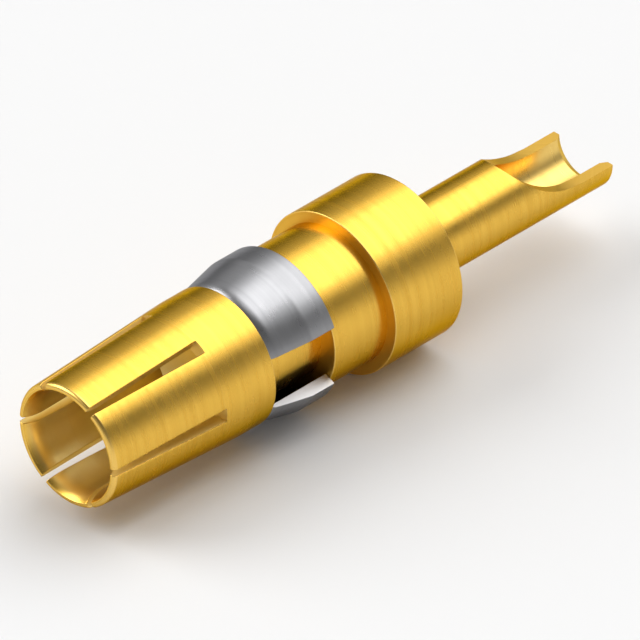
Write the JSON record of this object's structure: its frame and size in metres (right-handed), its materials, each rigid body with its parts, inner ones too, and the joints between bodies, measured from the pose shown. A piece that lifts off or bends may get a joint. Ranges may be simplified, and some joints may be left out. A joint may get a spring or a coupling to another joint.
{
  "type": "d-sub female power contact",
  "caption": "Turned socket contact with slotted spring fingers, a split retention ring in its groove, a stop collar and an open-sided solder cup.",
  "frame": {"origin": "on the contact's axis, in the plane of the collar's front face, which is the face that stops against the shell's insulator", "axes": "+X along the axis from the pin socket to the solder cup; +Z on the side where the solder cup is open"},
  "size_m": [0.0224, 0.0054, 0.0054],
  "materials": {
    "gold_plated_copper_alloy": "bright gold plating over a turned copper alloy",
    "spring_steel": "satin spring steel"
  },
  "bodies": {
    "root": {"contact_body": "gold_plated_copper_alloy", "retention_clip": "spring_steel"}
  },
  "joints": []
}
